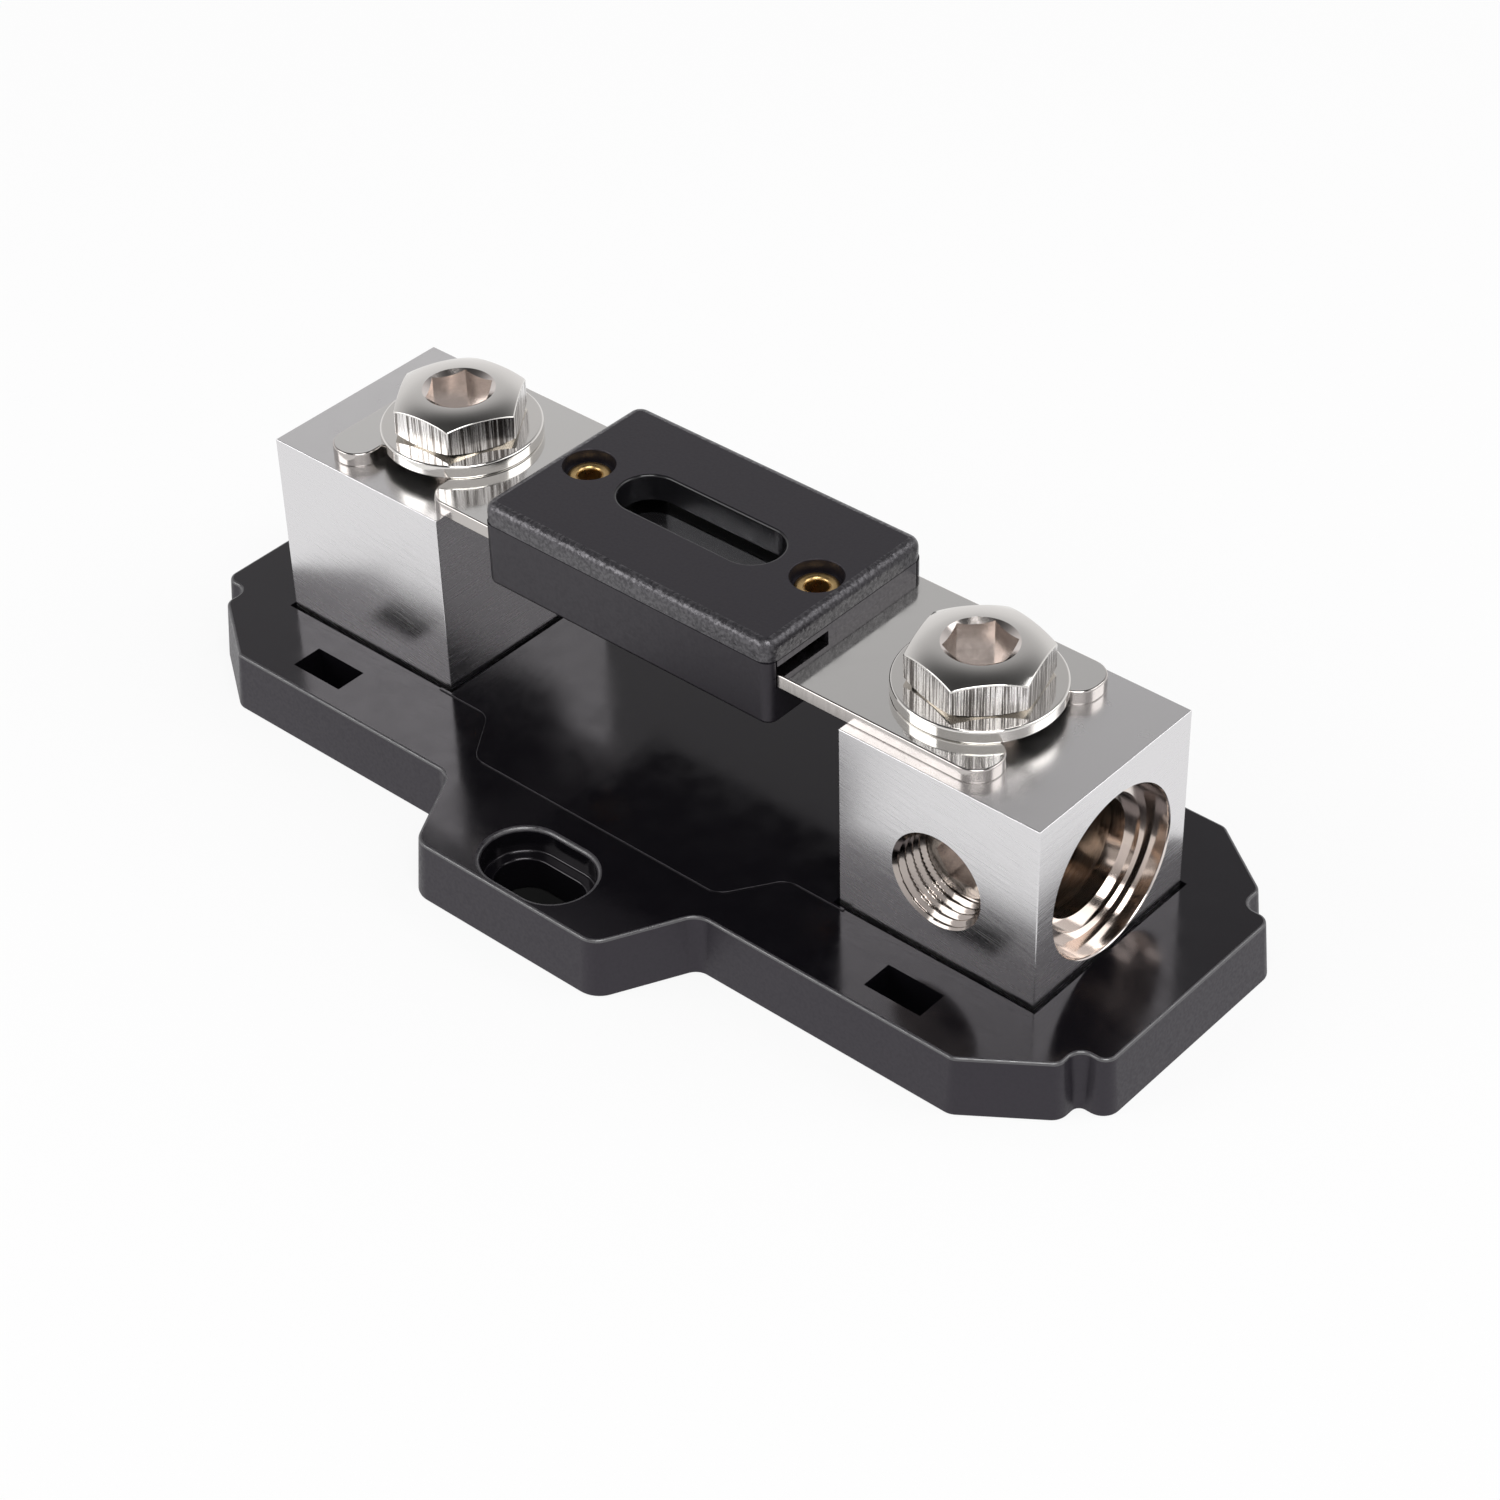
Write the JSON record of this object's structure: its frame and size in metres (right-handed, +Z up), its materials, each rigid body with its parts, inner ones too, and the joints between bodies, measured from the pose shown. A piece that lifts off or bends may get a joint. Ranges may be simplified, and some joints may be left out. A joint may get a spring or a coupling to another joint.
{
  "type": "anl fuse holder",
  "caption": "ANL fuse holder without its cover: black moulded base with two slotted ears, nickel-plated terminal blocks for heavy cable, bolted blade fuse with a viewing window.",
  "frame": {"origin": "centre of the base's underside, midway between the two mounting slots and the two terminals", "axes": "+X along the row of terminals, +Y across it, +Z up from the mounting surface"},
  "size_m": [0.1154, 0.0608, 0.034],
  "materials": {
    "moulded_black": "smooth glossy moulded top, satin side walls",
    "plated_brass": "bright nickel plating over fine machining marks",
    "plated_steel": "bright nickel plating",
    "dark_steel": "plain zinc plated",
    "fuse_strip": "mirror-bright nickel plating",
    "fuse_black": "satin moulded, slightly grainy rim",
    "window_clear": "clear moulded pane, glossy",
    "rivet_brass": "bright rolled brass"
  },
  "bodies": {
    "base": {"base_plate": "moulded_black", "terminal_block_left": "plated_brass", "terminal_block_right": "plated_brass", "fixing_screw_left_inner": "dark_steel", "fixing_screw_left_outer": "dark_steel", "fixing_screw_right_inner": "dark_steel", "fixing_screw_right_outer": "dark_steel", "fuse_link": "fuse_strip", "fuse_lower_shell": "fuse_black", "fuse_upper_shell": "fuse_black", "fuse_window": "window_clear", "rivet_left": "rivet_brass", "rivet_right": "rivet_brass"},
    "washer_left": {"flat_washer_left": "plated_steel"},
    "washer_right": {"flat_washer_right": "plated_steel"},
    "bolt_left": {"clamp_bolt_left": "plated_steel"},
    "bolt_right": {"clamp_bolt_right": "plated_steel"},
    "grub_left": {"set_screw_left": "plated_steel"},
    "grub_right": {"set_screw_right": "plated_steel"}
  },
  "joints": [
    {"name": "washer_left_lift", "type": "slide", "parent": "base", "child": "washer_left", "axis": [0, 0, 1], "range_m": [0, 0.0051]},
    {"name": "bolt_left_turn", "type": "hinge", "parent": "washer_left", "child": "bolt_left", "pos_m": [-0.0325, 0, 0.0299], "axis": [0, 0, 1], "range_deg": [0, 1440]},
    {"name": "grub_left_feed", "type": "slide", "parent": "base", "child": "grub_left", "axis": [0, 1, 0], "range_m": [-0.001, 0.004]},
    {"name": "washer_right_lift", "type": "slide", "parent": "base", "child": "washer_right", "axis": [0, 0, 1], "range_m": [0, 0.0051]},
    {"name": "bolt_right_turn", "type": "hinge", "parent": "washer_right", "child": "bolt_right", "pos_m": [0.0325, 0, 0.0299], "axis": [0, 0, 1], "range_deg": [0, 1440]},
    {"name": "grub_right_feed", "type": "slide", "parent": "base", "child": "grub_right", "axis": [0, -1, 0], "range_m": [-0.001, 0.004]}
  ],
  "couplings": [
    {"joint": "washer_left_lift", "follows": "bolt_left_turn", "m_per_rad": 0.00019894},
    {"joint": "washer_right_lift", "follows": "bolt_right_turn", "m_per_rad": 0.00019894}
  ]
}
